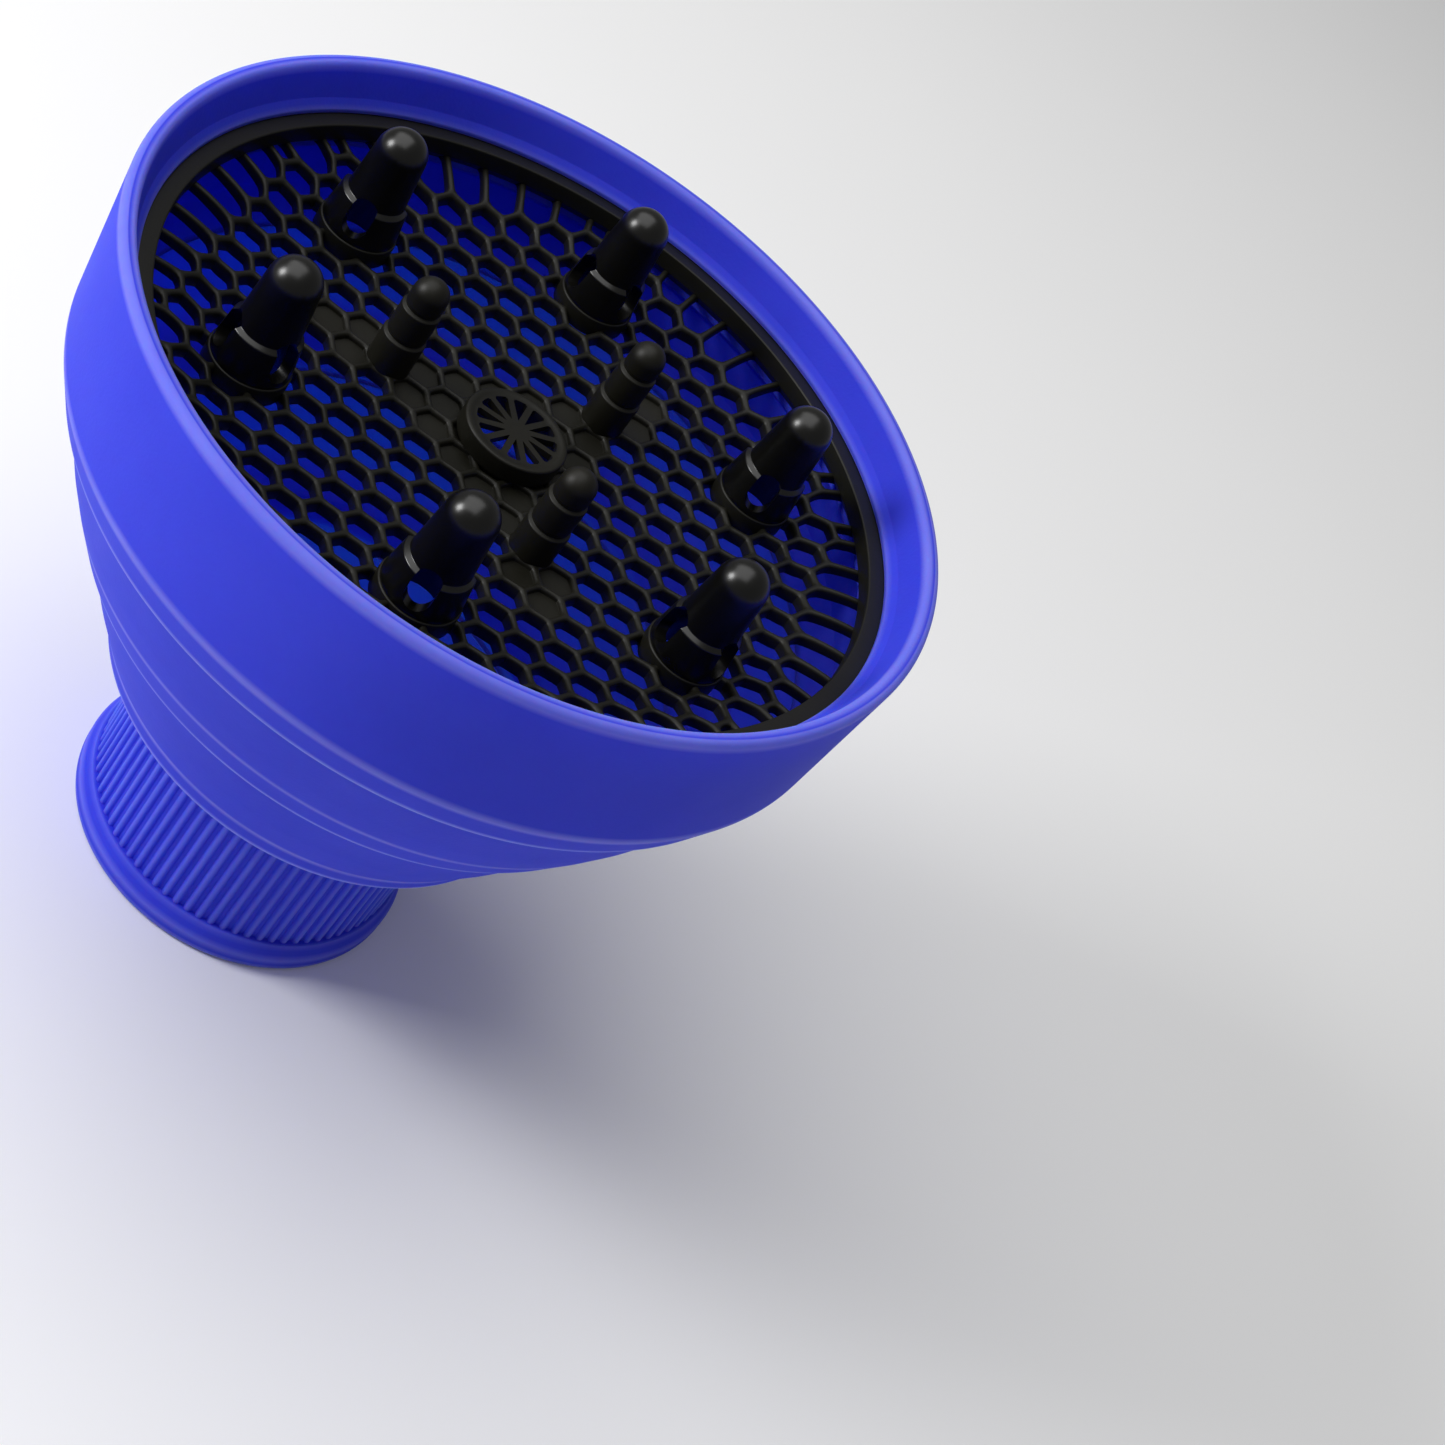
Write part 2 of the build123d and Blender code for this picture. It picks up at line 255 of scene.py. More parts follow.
class Nodes:
    """Short names for building one node material."""

    def __init__(self, name):
        self.material = bpy.data.materials.new(name)
        self.material.use_nodes = True
        self.tree = self.material.node_tree
        self.shader = self.tree.nodes["Principled BSDF"]
        self.place = self.add("ShaderNodeTexCoord").outputs["Object"]

    def add(self, kind, **values):
        node = self.tree.nodes.new(kind)
        for name, value in values.items():
            setattr(node, name, value)
        return node

    def link(self, output, socket):
        self.tree.links.new(output, socket)

    def noise(self, scale, detail=4.0, roughness=0.55):
        node = self.add("ShaderNodeTexNoise")
        self.link(self.place, node.inputs["Vector"])
        node.inputs["Scale"].default_value = scale
        node.inputs["Detail"].default_value = detail
        node.inputs["Roughness"].default_value = roughness
        return node.outputs["Fac"]

    def ramp(self, value, *stops):
        """Colour ramp with stops of (position, colour)."""
        node = self.add("ShaderNodeValToRGB")
        elements = node.color_ramp.elements
        elements[0].position, elements[0].color = stops[0][0], (*stops[0][1], 1.0)
        elements[1].position, elements[1].color = stops[-1][0], (*stops[-1][1], 1.0)
        for position, colour in stops[1:-1]:
            elements.new(position).color = (*colour, 1.0)
        self.link(value, node.inputs["Fac"])
        return node.outputs["Color"]

    def span(self, value, low, high):
        """The value, spread from 0..1 to low..high."""
        node = self.add("ShaderNodeMapRange")
        self.link(value, node.inputs["Value"])
        node.inputs["To Min"].default_value = low
        node.inputs["To Max"].default_value = high
        return node.outputs["Result"]

    def mix(self, share, first, second):
        """The first colour, with a share of the second, which is the same everywhere."""
        node = self.add("ShaderNodeMix", data_type="RGBA")
        self.link(share, node.inputs[MIX_SHARE])
        self.link(first, node.inputs[MIX_FIRST])
        node.inputs[MIX_SECOND].default_value = (*second, 1.0)
        return node.outputs[MIX_RESULT]

    def multiply(self, first, second):
        node = self.add("ShaderNodeMath", operation="MULTIPLY")
        self.link(first, node.inputs[0])
        self.link(second, node.inputs[1])
        return node.outputs[0]

    def attribute(self, name):
        return self.add("ShaderNodeAttribute", attribute_name=name).outputs["Fac"]

    def bump(self, height, strength, distance, under=None):
        node = self.add("ShaderNodeBump")
        node.inputs["Strength"].default_value = strength
        node.inputs["Distance"].default_value = distance
        self.link(height, node.inputs["Height"])
        if under is not None:
            self.link(under, node.inputs["Normal"])
        return node.outputs["Normal"]

    def join_up(self, colour, roughness, normal):
        self.link(colour, self.shader.inputs["Base Color"])
        self.link(roughness, self.shader.inputs["Roughness"])
        self.link(normal, self.shader.inputs["Normal"])
        return self.material

    def set(self, **values):
        for name, value in values.items():
            self.shader.inputs[name.replace("_", " ")].default_value = value


PAPER_DARK = (0.92, 0.92, 0.92)
PAPER_LIGHT = (0.95, 0.95, 0.95)
BLUE_DARK = (0.034, 0.046, 0.60)
BLUE_PLAIN = (0.038, 0.052, 0.66)
BLUE_LIGHT = (0.045, 0.060, 0.71)
BLUE_SPECK = (0.026, 0.034, 0.52)
# Pale lavender for the dust and painted highlight on the silicone's edges
BLUE_DUST_AND_HIGHLIGHT = (0.23, 0.23, 0.76)
SILICONE_IOR = 1.22
BLUE_SCATTER = (0.02, 0.5, 1.0)
BLACK_DARK = (0.0032, 0.0033, 0.0014)
BLACK_LIGHT = (0.0058, 0.0052, 0.0026)
BLACK_DUST = (0.026, 0.023, 0.014)
PLASTIC_IOR = 1.49


def floor_material():
    """White paper with a faint grain."""
    nodes = Nodes("floor_paper")
    cloud = nodes.noise(1.5, 3.0)
    colour = nodes.ramp(cloud, (0.3, PAPER_DARK), (0.7, PAPER_LIGHT))
    roughness = nodes.span(cloud, 0.75, 0.9)
    return nodes.join_up(colour, roughness, nodes.bump(nodes.noise(900.0), 0.05, 0.0002))


def silicone_material():
    """Matte blue silicone: fine moulded grain, faint clouding, and edges paled by dust and a
    painted highlight.
    """
    nodes = Nodes("blue_silicone")
    nodes.set(Specular_IOR_Level=0.30, IOR=SILICONE_IOR)
    nodes.set(Subsurface_Weight=0.5, Subsurface_Scale=0.009, Subsurface_Radius=BLUE_SCATTER)
    cloud = nodes.noise(16.0, 5.0)
    speck = nodes.noise(420.0, 3.0)
    body = nodes.ramp(cloud, (0.30, BLUE_DARK), (0.52, BLUE_PLAIN), (0.75, BLUE_LIGHT))
    body = nodes.mix(nodes.span(speck, 0.0, 0.16), body, BLUE_SPECK)
    # Dust and a painted highlight: edges and crests mix towards pale lavender, in patches
    dust_and_highlight = nodes.attribute("dust_and_highlight")
    dust_and_highlight_share = nodes.multiply(dust_and_highlight, nodes.span(nodes.noise(60.0), 0.55, 1.0))
    colour = nodes.mix(dust_and_highlight_share, body, BLUE_DUST_AND_HIGHLIGHT)
    roughness = nodes.span(nodes.noise(90.0), 0.56, 0.70)
    grain = nodes.bump(nodes.noise(1500.0, 2.0), 0.32, 0.00012)
    normal = nodes.bump(nodes.noise(55.0, 3.0), 0.10, 0.0006, grain)
    return nodes.join_up(colour, roughness, normal)


def plastic_material(name, gloss):
    """Black moulded plastic with an olive cast. Gloss 1 is polished, 0 is satin."""
    nodes = Nodes(name)
    nodes.set(Specular_IOR_Level=0.28 + 0.22 * gloss, IOR=PLASTIC_IOR)
    cloud = nodes.noise(35.0, 4.0)
    share = 1.0 - 0.72 * gloss
    darkest = tuple(part * share for part in BLACK_DARK)
    lightest = tuple(part * share for part in BLACK_LIGHT)
    body = nodes.ramp(cloud, (0.30, darkest), (0.70, lightest))
    dust = nodes.span(nodes.noise(700.0, 2.0), 0.0, 0.12 * share)
    colour = nodes.mix(dust, body, BLACK_DUST)
    low = 0.42 - 0.18 * gloss
    roughness = nodes.span(nodes.noise(140.0), low, low + 0.12)
    grain = nodes.bump(nodes.noise(1300.0, 2.0), 0.16 - 0.12 * gloss, 0.0001)
    normal = nodes.bump(nodes.noise(120.0, 3.0), 0.06, 0.0003, grain)
    return nodes.join_up(colour, roughness, normal)


# ---------------------------------------------------------------- mesh tools


# Largest share of a side that the round at one end of it may take up
ROUND_SHARE = 0.48
# A radius under this counts as a point on the axis
ON_AXIS = 1e-9


def dust_and_highlight_end(corner, side, reach):
    """The point on a side where a corner's dust and painted highlight have faded out, if there is
    room for one.
    """
    fade = min(DUST_AND_HIGHLIGHT_FADE, side.length * 0.5 - reach)
    if fade <= 0:
        return []
    spot = corner + side.normalized() * (reach + fade)
    return [(spot.x, spot.y, 0.0)]


def rounded(outline, steps=6):
    """Points (radius, height, dust and painted highlight) along an outline of (radius, height,
    round, dust and painted highlight) corners.

    Each corner with a round becomes an arc. The dust and painted highlight hold along the arc and
    fade on both sides."""
    points = []
    count = len(outline)
    for n, (radius, height, fillet, dust_and_highlight) in enumerate(outline):
        corner = Vector((radius, height))
        before = Vector(outline[n - 1][:2]) - corner
        after = Vector(outline[(n + 1) % count][:2]) - corner
        if not fillet:
            points.append((radius, height, dust_and_highlight))
            continue
        half = before.angle(after) / 2
        reach = fillet / math.tan(half)
        reach = min(reach, before.length * ROUND_SHARE, after.length * ROUND_SHARE)
        fillet = reach * math.tan(half)
        bisector = (before.normalized() + after.normalized()).normalized()
        centre = corner + bisector * (fillet / math.sin(half))
        start = corner + before.normalized() * reach - centre
        sweep = start.angle_signed(corner + after.normalized() * reach - centre)
        if dust_and_highlight:
            points += dust_and_highlight_end(corner, before, reach)
        for k in range(steps + 1):
            spot = start.copy()
            spot.rotate(Matrix.Rotation(-sweep * k / steps, 2))
            spot += centre
            points.append((spot.x, spot.y, dust_and_highlight))
        if dust_and_highlight:
            points += dust_and_highlight_end(corner, after, reach)
    return points


def new_piece(name, points, faces, dust_and_highlight=None):
    """Object from points and faces, with the dust and painted highlight of each point if there is
    any.
    """
    mesh = bpy.data.meshes.new(name)
    mesh.from_pydata(points, [], faces)
    mesh.validate()
    piece = bpy.data.objects.new(name, mesh)
    bpy.context.scene.collection.objects.link(piece)
    if dust_and_highlight is not None:
        layer = mesh.attributes.new("dust_and_highlight", "FLOAT", "POINT")
        layer.data.foreach_set("value", dust_and_highlight)
    return piece


def joined_columns(steps, count, closed=True):
    """Faces between neighbouring columns of points that stand around an axis."""
    faces = []
    for step in range(steps):
        here, there = step * count, (step + 1) % steps * count
        for n in range(count if closed else count - 1):
            following = (n + 1) % count
            faces.append((here + n, there + n, there + following, here + following))
    return faces


def lathe(name, outline, steps=TURN_STEPS, centre=(0.0, 0.0)):
    """Turns an outline of (radius, height, dust and painted highlight) about an upright axis.

    An outline that starts and ends on the axis is open, any other is closed."""
    capped = outline[0][0] < ON_AXIS and outline[-1][0] < ON_AXIS
    ring_points = outline[1:-1] if capped else outline
    count = len(ring_points)
    points, dust_and_highlight = [], []
    for step in range(steps):
        angle = 2 * math.pi * step / steps
        cos, sin = math.cos(angle), math.sin(angle)
        for radius, height, spot_dust_and_highlight in ring_points:
            points.append((centre[0] + radius * cos, centre[1] + radius * sin, height))
            dust_and_highlight.append(spot_dust_and_highlight)
    faces = joined_columns(steps, count, closed=not capped)
    if capped:
        first, last = len(points), len(points) + 1
        points += [(*centre, outline[0][1]), (*centre, outline[-1][1])]
        dust_and_highlight += [outline[0][2], outline[-1][2]]
        for step in range(steps):
            here, there = step * count, (step + 1) % steps * count
            faces.append((first, there, here))
            faces.append((here + count - 1, there + count - 1, last))
    piece = new_piece(name, points, faces, dust_and_highlight)
    face_outwards(piece)
    return piece


def face_outwards(piece):
    """Turns the piece's faces so that all of them look outwards."""
    work = bmesh.new()
    work.from_mesh(piece.data)
    bmesh.ops.recalc_face_normals(work, faces=work.faces)
    work.to_mesh(piece.data)
    work.free()


def polish(piece, material, sharp_angle=38.0):
    """Smooth shading with crisp edges, and the piece's material."""
    piece.data.shade_smooth()
    piece.data.set_sharp_from_angle(angle=math.radians(sharp_angle))
    piece.data.materials.clear()
    piece.data.materials.append(material)
    return piece


def carve(piece, tool, operation="DIFFERENCE"):
    """Cuts the tool out of the piece, or joins it on, and removes the tool."""
    change = piece.modifiers.new("carve", "BOOLEAN")
    change.operation = operation
    change.solver = "MANIFOLD"
    change.object = tool
    bpy.context.view_layer.update()
    evaluated = piece.evaluated_get(bpy.context.evaluated_depsgraph_get())
    mesh = bpy.data.meshes.new_from_object(evaluated)
    piece.modifiers.clear()
    piece.data = mesh
    bpy.data.objects.remove(tool)


def prism(near, far):
    """Closed bar between two loops of points that match one to one, used to cut."""
    count = len(near)
    faces = [tuple(range(count)), tuple(range(2 * count - 1, count - 1, -1))]
    faces += [(n, (n + 1) % count, (n + 1) % count + count, n + count) for n in range(count)]
    bar = new_piece("tool", near + far, faces)
    face_outwards(bar)
    return bar


def post(radius, bottom, top, centre=(0.0, 0.0), steps=72):
    """Plain round bar, used to cut bores."""
    outline = [(0.0, bottom, 0.0), (radius, bottom, 0.0), (radius, top, 0.0), (0.0, top, 0.0)]
    return lathe("tool", outline, steps, centre)


def middle_of(node):
    """Middle of a node's box, seen from above."""
    low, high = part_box(node)
    return ((low.x + high.x) / 2, (low.y + high.y) / 2)


# ---------------------------------------------------------------- bell


def web_line(web, low_radius, low_height):
    """Radius as a function of height on the outside of a web, which ends at the place given."""
    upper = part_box(web)[1]
    slope = (upper.x - low_radius) / (upper.z - low_height)
    return lambda height: low_radius + slope * (height - low_height)


outer_tier_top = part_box("outer_tier_ring")[1]
inner_tier_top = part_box("inner_tier_ring")[1]
outer_line = web_line("outer_fold_web", outer_tier_top.x, outer_tier_top.z)
middle_line = web_line("middle_fold_web", inner_tier_top.x, inner_tier_top.z)
inner_line = web_line("inner_fold_web", NECK_RADIUS, neck_top_height)

outer_edge = (rim_radius - SKIRT_EDGE_INSET, outer_crest_height + SKIRT_EDGE_RISE)
middle_edge_height = middle_crest_height + MIDDLE_EDGE_RISE
middle_edge = (outer_line(middle_edge_height), middle_edge_height)
inner_edge_height = inner_crest_height + INNER_EDGE_RISE
inner_edge = (middle_line(inner_edge_height), inner_edge_height)


def crest_end(line, height, edge):
    """Where the round of a crest ends on the web below it, as a height."""
    probe = 0.01
    corner = Vector((line(height), height))
    up = Vector(edge) - corner
    down = Vector((line(height - probe), height - probe)) - corner
    reach = CREST_ROUND / math.tan(up.angle(down) / 2)
    return height + down.normalized().y * reach


def band(line, crest_height, edge, wall):
    """Corners from a band's edge, over its crest and the start of the web, to its inside.

    Gives them down the outside and back up, and the height where the web's own piece starts."""
    crest = (line(crest_height), crest_height)
    end = crest_end(line, crest_height, edge)
    start = end - DUST_AND_HIGHLIGHT_FADE
    web_radius = line(start) - WEB_RECESS
    # The edge and the crest are paled by dust and a painted highlight, which fades out before the
    # web's piece starts
    return [
        (*edge, EDGE_ROUND, EDGE_DUST_AND_HIGHLIGHT),
        (*crest, CREST_ROUND, CREST_DUST_AND_HIGHLIGHT),
        (line(end) - WEB_RECESS, end - 0.15 * MM, 0.0, 0.0),
        (web_radius, start, 0.0, 0.0),
        (web_radius - WEB_WALL, start, 0.0, 0.0),
        (crest[0] - wall, crest_height + 0.3 * MM, INNER_ROUND, 0.0),
        (edge[0] - wall * 1.04, edge[1] + 0.5 * MM, INNER_ROUND, 0.0),
    ], start


def make_skirt(material):
    """Wide band round the mouth, with the rim, the groove for the insert and the first crest.

    Gives the height where the web below starts."""
    seat = rim_height - SEAT_DEPTH
    floor = seat - SEAT_HEIGHT
    edge_corners, end = band(outer_line, outer_crest_height, outer_edge, SKIRT_WALL)
    # The rim, the inner rim and the bead are paled by dust and a painted highlight too
    outline = [
        (rim_radius, rim_height, RIM_ROUND, EDGE_DUST_AND_HIGHLIGHT),
        *edge_corners,
        (outer_edge[0] - SKIRT_WALL, floor - LEDGE_TAPER, INNER_ROUND, 0.0),
        (LEDGE_RADIUS, floor - LEDGE_HEIGHT, INNER_ROUND, 0.0),
        (LEDGE_RADIUS, floor, SEAT_ROUND, 0.0),
        (SEAT_RADIUS, floor, SEAT_ROUND, 0.0),
        (SEAT_RADIUS, seat + CLEARANCE, 0.0, 0.0),
        (BEAD_RADIUS, seat + CLEARANCE, 0.25 * MM, BEAD_DUST_AND_HIGHLIGHT),
        (BEAD_RADIUS, seat + BEAD_HEIGHT, 0.45 * MM, BEAD_DUST_AND_HIGHLIGHT),
        (BEAD_RADIUS + BEAD_SLOPE[0], seat + BEAD_SLOPE[1], 0.7 * MM, 0.0),
        (rim_radius - RIM_WIDTH, rim_height, RIM_ROUND * 0.9, RIM_INNER_DUST_AND_HIGHLIGHT),
    ]
    skirt = polish(lathe("skirt_band", rounded(outline)), material)
    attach(skirt, "skirt")
    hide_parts("skirt")
    return end


def web_face(line, start, fold):
    """Points (radius, height) down the outside of a web, from its start to its fold.

    The face lies inside the web's line: most under the crest above, nothing at the fold."""
    points = []
    for k in range(WEB_ROWS + 1):
        height = start + (fold - start) * k / WEB_ROWS
        recess = WEB_RECESS * (height - fold) / (start - fold)
        points.append((line(height) - recess, height))
    return points


def make_fold(
    name, nodes, line, start, fold, line_below, crest_height, edge, material
):
    """A web from the band above to its fold, and the stiff ring under it with the next crest.

    Gives the height where the web below starts."""
    edge_corners, end = band(line_below, crest_height, edge, TIER_WALL)
    face = web_face(line, start, fold)
    web_outside = [(radius, height, 0.0, 0.0) for radius, height in face]
    inner_fold = (line(fold) - TIER_WALL, fold - 1.2 * MM, 0.0, 0.0)
    web_inside = [(radius - WEB_WALL, height, 0.0, 0.0) for radius, height in reversed(face)]
    outline = [*web_outside, *edge_corners, inner_fold, *web_inside]
    piece = polish(lathe(name, rounded(outline)), material)
    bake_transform(piece)
    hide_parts(*nodes)
    return end


def make_inner_fold(start, material):
    """The innermost web, which turns into the top of the neck."""
    face = web_face(inner_line, start, neck_top_height)
    outside = [(radius, height, 0.0) for radius, height in face]
    inside = [(radius - INNER_WEB_WALL, height, 0.0) for radius, height in reversed(face)]
    piece = polish(lathe("inner_fold", outside + inside), material)
    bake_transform(piece)
    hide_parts("inner_fold_web")


def off_nearest(angle, count):
    """Angle from the nearest of a count of evenly spaced marks."""
    pitch = 2 * math.pi / count
    return (angle + pitch / 2) % pitch - pitch / 2


def rib_radius(angle):
    """Outside of the ribbed neck at an angle: round ribs on a plain wall."""
    off = off_nearest(angle, NECK_RIB_COUNT)
    middle = NECK_RADIUS - NECK_RIB_ROUND
    across = middle * math.sin(off)
    if abs(across) < NECK_RIB_ROUND:
        reach = middle * math.cos(off) + math.sqrt(NECK_RIB_ROUND**2 - across**2)
        return max(reach, NECK_ROOT_RADIUS)
    return NECK_ROOT_RADIUS


def grip_radius(angle):
    """Inside of the neck at an angle: pairs of grip ribs with rounded flanks."""
    across = LAND_RADIUS * math.sin(off_nearest(angle, GRIP_PAIRS))
    nearest = min(abs(across - GRIP_SPACING / 2), abs(across + GRIP_SPACING / 2))
    share = min(1.0, max(0.0, (GRIP_WIDTH / 2 - nearest) / GRIP_FLANK))
    share = share * share * (3 - 2 * share)
    return NECK_BORE_RADIUS + (LAND_RADIUS - NECK_BORE_RADIUS) * share


def make_neck(material):
    """Ribbed collar with its plain lip and the grip ribs inside."""
    # Corners of the lip: radius, height, round, and dust and painted highlight
    lip = rounded([
        (LAND_RADIUS, LIP_HEIGHT, 0.3 * MM, 0.0),
        (LAND_RADIUS, 0.0, 0.7 * MM, 0.2),
        (lip_radius, 0.0, 0.9 * MM, 0.6),
        (lip_radius, LIP_HEIGHT / 2, 0.6 * MM, 0.5),
        (NECK_RADIUS + LIP_SHOULDER, LIP_HEIGHT, 0.25 * MM, 0.3),
        (NECK_ROOT_RADIUS, LIP_HEIGHT, 0.0, 0.0),
    ])
    rib_rows = [LIP_HEIGHT + 0.02 * MM, LIP_HEIGHT + 8 * MM, neck_top_height - 0.9 * MM]
    steps = NECK_RIB_COUNT * NECK_STEPS_PER_RIB
    points, dust_and_highlight = [], []
    for step in range(steps):
        angle = 2 * math.pi * step / steps
        cos, sin = math.cos(angle), math.sin(angle)
        outside, inside = rib_radius(angle), grip_radius(angle)
        crown = max(0.0, (outside - NECK_ROOT_RADIUS) / (NECK_RADIUS - NECK_ROOT_RADIUS))
        column = [*lip[:-1]]
        # Rib crowns are paled by dust and a painted highlight, strongest on top
        column += [(outside, height, RIB_DUST_AND_HIGHLIGHT * crown**3) for height in rib_rows]
        column += [(NECK_RADIUS, neck_top_height, 0.0)]
        column += [(NECK_BORE_RADIUS, neck_top_height, 0.0)]
        column += [(inside, neck_top_height - 2 * MM, 0.0), (inside, LIP_HEIGHT + 0.3 * MM, 0.0)]
        for radius, height, spot_dust_and_highlight in column:
            points.append((radius * cos, radius * sin, height))
            dust_and_highlight.append(spot_dust_and_highlight)
    neck = new_piece("neck", points, joined_columns(steps, len(points) // steps), dust_and_highlight)
    face_outwards(neck)
    polish(neck, material)
    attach(neck, "neck")
    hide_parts("neck_collar")


# ---------------------------------------------------------------- plastic insert


def lattice_height(radius):
    """Top of the plain dish at a radius."""
    rise = LATTICE_CENTRE_DEPTH - LATTICE_EDGE_DEPTH
    return rim_height - LATTICE_CENTRE_DEPTH + rise * (radius / DISH_RADIUS) ** 2


def towards_ring(radius, plain, end):
    """Height that leaves the plain dish near its edge and climbs to its end at the border ring."""
    share = max(0.0, min(1.0, (radius - BAR_RISE_START) / (RING_INNER_RADIUS - BAR_RISE_START)))
    return plain + (end - plain) * share


def rib_top(radius):
    """Top of the ribs and bars at a radius."""
    plain = lattice_height(min(radius, DISH_RADIUS))
    return towards_ring(radius, plain, rim_height - BAR_TOP_DEPTH)


def rib_foot(radius):
    """Underside of the ribs and bars at a radius."""
    plain = lattice_height(min(radius, DISH_RADIUS)) - LATTICE_THICKNESS
    return towards_ring(radius, plain, rim_height - BAR_FOOT_DEPTH)


def is_blind(x, y):
    """Whether the cell there has a floor: the middle field and three arms to the short fingers."""
    if math.hypot(x, y) < FIELD_RADIUS:
        return True
    for node in SHORT_FINGERS:
        angle = math.atan2(*reversed(middle_of(node)))
        forward = x * math.cos(angle) + y * math.sin(angle)
        sideways = y * math.cos(angle) - x * math.sin(angle)
        if 0 < forward < ARM_LENGTH and abs(sideways) < ARM_HALF_WIDTH:
            return True
    return False


def softened_hexagon(angle):
    """Distance from a cell's middle to its opening's edge, with rounded corners."""
    total = 0.0
    for k in range(6):
        facing = math.cos(angle - math.radians(30 + 60 * k))
        if facing > 0:
            total += facing**CELL_SOFTNESS
    return (CELL_PITCH - CELL_RIB) / 2 / total ** (1 / CELL_SOFTNESS)


def sampled(first, last, steps):
    """Points from the first towards the last, which is left out."""
    return [first.lerp(last, n / steps) for n in range(steps)]


def hexagon_border():
    """Points round the border that a cell shares with its neighbours, from its middle."""
    turns = [math.radians(60 * k) for k in range(6)]
    corners = [Vector((CELL_REACH * math.cos(a), CELL_REACH * math.sin(a))) for a in turns]
    border = []
    for k in range(6):
        border += sampled(corners[k], corners[(k + 1) % 6], SIDE_STEPS)
    return border


def spot_key(spot):
    """Name of a place, the same for every cell that meets there.

    The offset keeps the grid's own places away from the edges between two names."""
    return (math.floor(spot[0] * 1e5 + 0.137), math.floor(spot[1] * 1e5 + 0.137))


def whole_cells():
    """Middles of the hexagons that lie clear of the border ring."""
    column = CELL_PITCH * math.sqrt(3) / 2
    reach = int(RING_INNER_RADIUS / column) + 1
    spots = [
        Vector((i * column, (j + (i % 2) / 2) * CELL_PITCH))
        for i in range(-reach, reach + 1) for j in range(-reach, reach + 1)
    ]
    return [spot for spot in spots if spot.length < WHOLE_CELL_LIMIT]


def edge_chains(cells):
    """The honeycomb's border, cut at the corners that only one hexagon has."""
    angles = [math.radians(60 * k) for k in range(6)]
    turns = [Vector((math.cos(angle), math.sin(angle))) for angle in angles]
    shared, sides = {}, {}
    for cell in cells:
        corners = [cell + turn * CELL_REACH for turn in turns]
        for k in range(6):
            here, there = corners[k], corners[(k + 1) % 6]
            shared[spot_key(here)] = shared.get(spot_key(here), 0) + 1
            side = tuple(sorted((spot_key(here), spot_key(there))))
            sides.setdefault(side, []).append((here, there))
    follow = {spot_key(found[0][0]): found[0] for found in sides.values() if len(found) == 1}
    chains = []
    for key in sorted(follow):
        if shared[key] > 1:
            continue
        chain = list(follow[key])
        while shared[spot_key(chain[-1])] > 1:
            chain.append(follow[spot_key(chain[-1])][1])
        chains.append(chain)
    return chains


def whole_cell(cell):
    """Border and opening of the hexagon with that middle."""
    border, opening = [], []
    for spot in hexagon_border():
        angle = math.atan2(spot.y, spot.x)
        radius = softened_hexagon(angle)
        border.append(cell + spot)
        opening.append(cell + Vector((radius * math.cos(angle), radius * math.sin(angle))))
    return border, opening


def gap_to(spot, first, last):
    """Distance from a place to the straight line between two others."""
    along = last - first
    share = max(0.0, min(1.0, (spot - first).dot(along) / along.length_squared))
    return (spot - first - along * share).length


def edge_cell(chain):
    """Border and opening of the cell between a chain, two radial bars and the ring."""
    opening_limit = RING_INNER_RADIUS + RING_UNDERCUT_WIDTH
    outer = opening_limit + BAR_OVERLAP
    first, last = chain[0], chain[-1]
    first_end, last_end = first.normalized() * outer, last.normalized() * outer
    border = []
    for n in range(len(chain) - 1, 0, -1):
        border += sampled(chain[n], chain[n - 1], SIDE_STEPS)
    border += sampled(first, first_end, BAR_STEPS)
    start, end = math.atan2(first.y, first.x), math.atan2(last.y, last.x)
    sweep = (end - start) % (2 * math.pi)
    border.append(first_end)
    for n in range(1, BAR_STEPS):
        angle = start + sweep * n / BAR_STEPS
        border.append(Vector((outer * math.cos(angle), outer * math.sin(angle))))
    border += sampled(last_end, last, BAR_STEPS)
    walls = [*zip(chain, chain[1:]), (first, first_end), (last, last_end)]
    middle = sum(border, Vector((0, 0))) / len(border)

    def is_clear(spot):
        """Whether the place is off every wall and inside the ring."""
        nearest = min(gap_to(spot, *wall) for wall in walls)
        return nearest >= CELL_RIB / 2 and spot.length <= opening_limit

    halvings = 16
    opening = []
    for spot in border:
        near, far = 0.0, 1.0
        for _ in range(halvings):
            share = (near + far) / 2
            if is_clear(spot.lerp(middle, share)):
                far = share
            else:
                near = share
        opening.append(spot.lerp(middle, far))
    following = opening[1:] + opening[:1]
    eased = [(opening[n - 1] + opening[n] * 2 + following[n]) / 4 for n in range(len(opening))]
    return border, eased


def between(border, opening, share):
    """Loop at a share of the way from a cell's border to its opening."""
    return [near.lerp(far, share) for near, far in zip(border, opening)]


# Crown of half a rib: share of the way from the border to the opening, depth in millimetres
RIB_CROWN = [(0.35, 0.04), (0.62, 0.14), (0.82, 0.29), (0.94, 0.44), (1.0, 0.65)]
# The same shares for the rim of a blind cell's floor and for the foot of an open cell's rib
BLIND_SHARE = 1.06
FOOT_SHARE = 0.8


